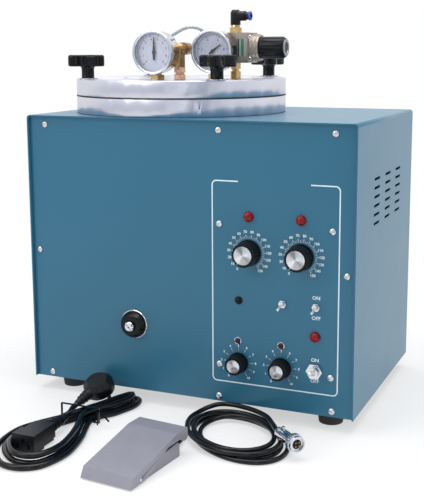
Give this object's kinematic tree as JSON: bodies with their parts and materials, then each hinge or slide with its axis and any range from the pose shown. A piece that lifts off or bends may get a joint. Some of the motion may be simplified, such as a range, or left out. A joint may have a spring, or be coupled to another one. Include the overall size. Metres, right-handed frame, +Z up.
{
  "type": "jewelry wax injector",
  "caption": "Benchtop vacuum wax injector: sheet-metal cabinet with front nozzle and control panel, clamped wax pot with gauges and regulator, foot pedal and mains lead.",
  "frame": {"origin": "on the floor under the middle of the box round the machine and its pedal, loose leads left out", "axes": "+Z up, -Y the front with the nozzle and the control panel, +X to the right seen from the front"},
  "size_m": [0.4, 0.4898, 0.4562],
  "materials": {
    "cabinet_blue": "satin",
    "bare_steel": "satin",
    "pot_aluminium": "satin",
    "chrome": "polished",
    "dial_white": "matt",
    "clear": "clear",
    "needle_black": "matt",
    "brass": "polished",
    "copper_nut": "polished",
    "regulator_champagne": "satin",
    "knob_black": "gloss",
    "black_rubber": "matt",
    "cord_black": "satin",
    "lamp_red": "gloss",
    "board_green": "satin",
    "gasket_red": "matt",
    "heater_mica": "matt",
    "pump_grey": "satin",
    "pedal_grey": "satin",
    "black_plastic": "matt",
    "spring_steel": "satin"
  },
  "bodies": {
    "cabinet": {"cabinet_shell": "cabinet_blue", "base_plate": "bare_steel", "front_panel": "cabinet_blue", "back_panel": "cabinet_blue", "rubber_feet": "black_rubber", "panel_screws": "bare_steel", "wax_pot": "pot_aluminium", "pot_flange": "pot_aluminium", "heater_band": "heater_mica", "lid_gasket": "gasket_red", "lid_studs": "bare_steel", "nozzle_cap": "knob_black", "nozzle_spring": "spring_steel", "valve_block": "brass", "panel_controls": "bare_steel", "indicator_lamps": "lamp_red", "control_board": "board_green", "solenoid_valve": "pump_grey", "vacuum_pump": "pump_grey", "mains_inlet": "black_plastic", "rear_ports": "brass", "pedal_base": "pedal_grey", "pedal_pin": "bare_steel", "pedal_spring": "spring_steel", "pedal_switch": "black_plastic", "pedal_gland": "black_rubber", "pedal_cable": "cord_black", "pedal_coil": "cord_black", "cable_connector": "chrome", "mains_hank": "cord_black", "mains_connector": "black_plastic", "wall_plug": "black_plastic", "twist_tie": "black_plastic"},
    "lid": {"lid_plate": "pot_aluminium", "gauge_cases": "chrome", "gauge_dials": "dial_white", "gauge_windows": "clear", "brass_fittings": "brass", "brass_elbow": "brass", "elbow_nut": "copper_nut", "air_tube": "clear", "regulator_body": "regulator_champagne"},
    "star_knob_1": {"star_knob_1": "knob_black"},
    "star_knob_2": {"star_knob_2": "knob_black"},
    "star_knob_3": {"star_knob_3": "knob_black"},
    "star_knob_4": {"star_knob_4": "knob_black"},
    "pressure_needle": {"pressure_needle": "needle_black"},
    "regulator_needle": {"regulator_needle": "needle_black"},
    "regulator_knob": {"regulator_knob": "knob_black"},
    "push_in_elbow": {"push_in_elbow": "knob_black"},
    "wax_temp_knob": {"wax_temp_knob": "knob_black"},
    "valve_temp_knob": {"valve_temp_knob": "knob_black"},
    "vacuum_time_knob": {"vacuum_time_knob": "knob_black"},
    "injection_time_knob": {"injection_time_knob": "knob_black"},
    "auto_manual_lever": {"auto_manual_lever": "chrome"},
    "vacuum_lever": {"vacuum_lever": "chrome"},
    "power_lever": {"power_lever": "chrome"},
    "nozzle_tip": {"nozzle_tip": "chrome"},
    "pedal_tread": {"pedal_tread": "pedal_grey"},
    "coupling_ring": {"coupling_ring": "chrome"}
  },
  "joints": [
    {"name": "lid_lift", "type": "slide", "parent": "cabinet", "child": "lid", "axis": [0, 0, 1], "range_m": [0, 0.12]},
    {"name": "clamp_knob_1_turn", "type": "hinge", "parent": "lid", "child": "star_knob_1", "pos_m": [0.02284, 0.17774, 0.39], "axis": [0, 0, 1], "continuous": true},
    {"name": "clamp_knob_2_turn", "type": "hinge", "parent": "lid", "child": "star_knob_2", "pos_m": [-0.14404, 0.17774, 0.39], "axis": [0, 0, 1], "continuous": true},
    {"name": "clamp_knob_3_turn", "type": "hinge", "parent": "lid", "child": "star_knob_3", "pos_m": [-0.14404, 0.01086, 0.39], "axis": [0, 0, 1], "continuous": true},
    {"name": "clamp_knob_4_turn", "type": "hinge", "parent": "lid", "child": "star_knob_4", "pos_m": [0.02284, 0.01086, 0.39], "axis": [0, 0, 1], "continuous": true},
    {"name": "pressure_needle_swing", "type": "hinge", "parent": "lid", "child": "pressure_needle", "pos_m": [-0.052, 0.003, 0.407], "axis": [0, 1, 0], "range_deg": [-135, 135]},
    {"name": "regulator_needle_swing", "type": "hinge", "parent": "lid", "child": "regulator_needle", "pos_m": [0.0027, 0.044, 0.408], "axis": [0, 1, 0], "range_deg": [-187, 83]},
    {"name": "regulator_knob_turn", "type": "hinge", "parent": "lid", "child": "regulator_knob", "pos_m": [0.06, 0.083, 0.412], "axis": [1, 0, 0], "continuous": true},
    {"name": "push_in_swivel", "type": "hinge", "parent": "lid", "child": "push_in_elbow", "pos_m": [0.016, 0.083, 0.44], "axis": [0, 0, 1], "continuous": true},
    {"name": "wax_temp_turn", "type": "hinge", "parent": "cabinet", "child": "wax_temp_knob", "pos_m": [0.0786, -0.041, 0.191], "axis": [0, 1, 0], "range_deg": [0, 290]},
    {"name": "valve_temp_turn", "type": "hinge", "parent": "cabinet", "child": "valve_temp_knob", "pos_m": [0.1386, -0.041, 0.191], "axis": [0, 1, 0], "range_deg": [0, 290]},
    {"name": "vacuum_time_turn", "type": "hinge", "parent": "cabinet", "child": "vacuum_time_knob", "pos_m": [0.0665, -0.041, 0.065], "axis": [0, 1, 0], "range_deg": [0, 290]},
    {"name": "injection_time_turn", "type": "hinge", "parent": "cabinet", "child": "injection_time_knob", "pos_m": [0.117, -0.041, 0.065], "axis": [0, 1, 0], "range_deg": [0, 290]},
    {"name": "auto_manual_flip", "type": "hinge", "parent": "cabinet", "child": "auto_manual_lever", "pos_m": [0.1183, -0.0366, 0.1375], "axis": [-1, 0, 0], "range_deg": [0, 25]},
    {"name": "vacuum_flip", "type": "hinge", "parent": "cabinet", "child": "vacuum_lever", "pos_m": [0.1563, -0.0366, 0.1375], "axis": [-1, 0, 0], "range_deg": [0, 25]},
    {"name": "power_flip", "type": "hinge", "parent": "cabinet", "child": "power_lever", "pos_m": [0.1556, -0.0394, 0.0666], "axis": [1, 0, 0], "range_deg": [0, 25]},
    {"name": "nozzle_press", "type": "slide", "parent": "cabinet", "child": "nozzle_tip", "axis": [0, 1, 0], "range_m": [0, 0.003], "stiffness_N_per_m": 800, "springref_m": -0.002, "deforming": ["nozzle_spring"]},
    {"name": "pedal_press", "type": "hinge", "parent": "cabinet", "child": "pedal_tread", "pos_m": [0.01528, -0.22267, 0.005], "axis": [-0.994, 0.1097, 0], "range_deg": [0, 3.5], "stiffness_Nm_per_rad": 3, "springref_deg": -5.73, "deforming": ["pedal_spring"]},
    {"name": "coupling_ring_turn", "type": "hinge", "parent": "cabinet", "child": "coupling_ring", "pos_m": [0.16238, -0.11686, 0.0182], "axis": [0.757, -0.6534, 0], "continuous": true}
  ]
}
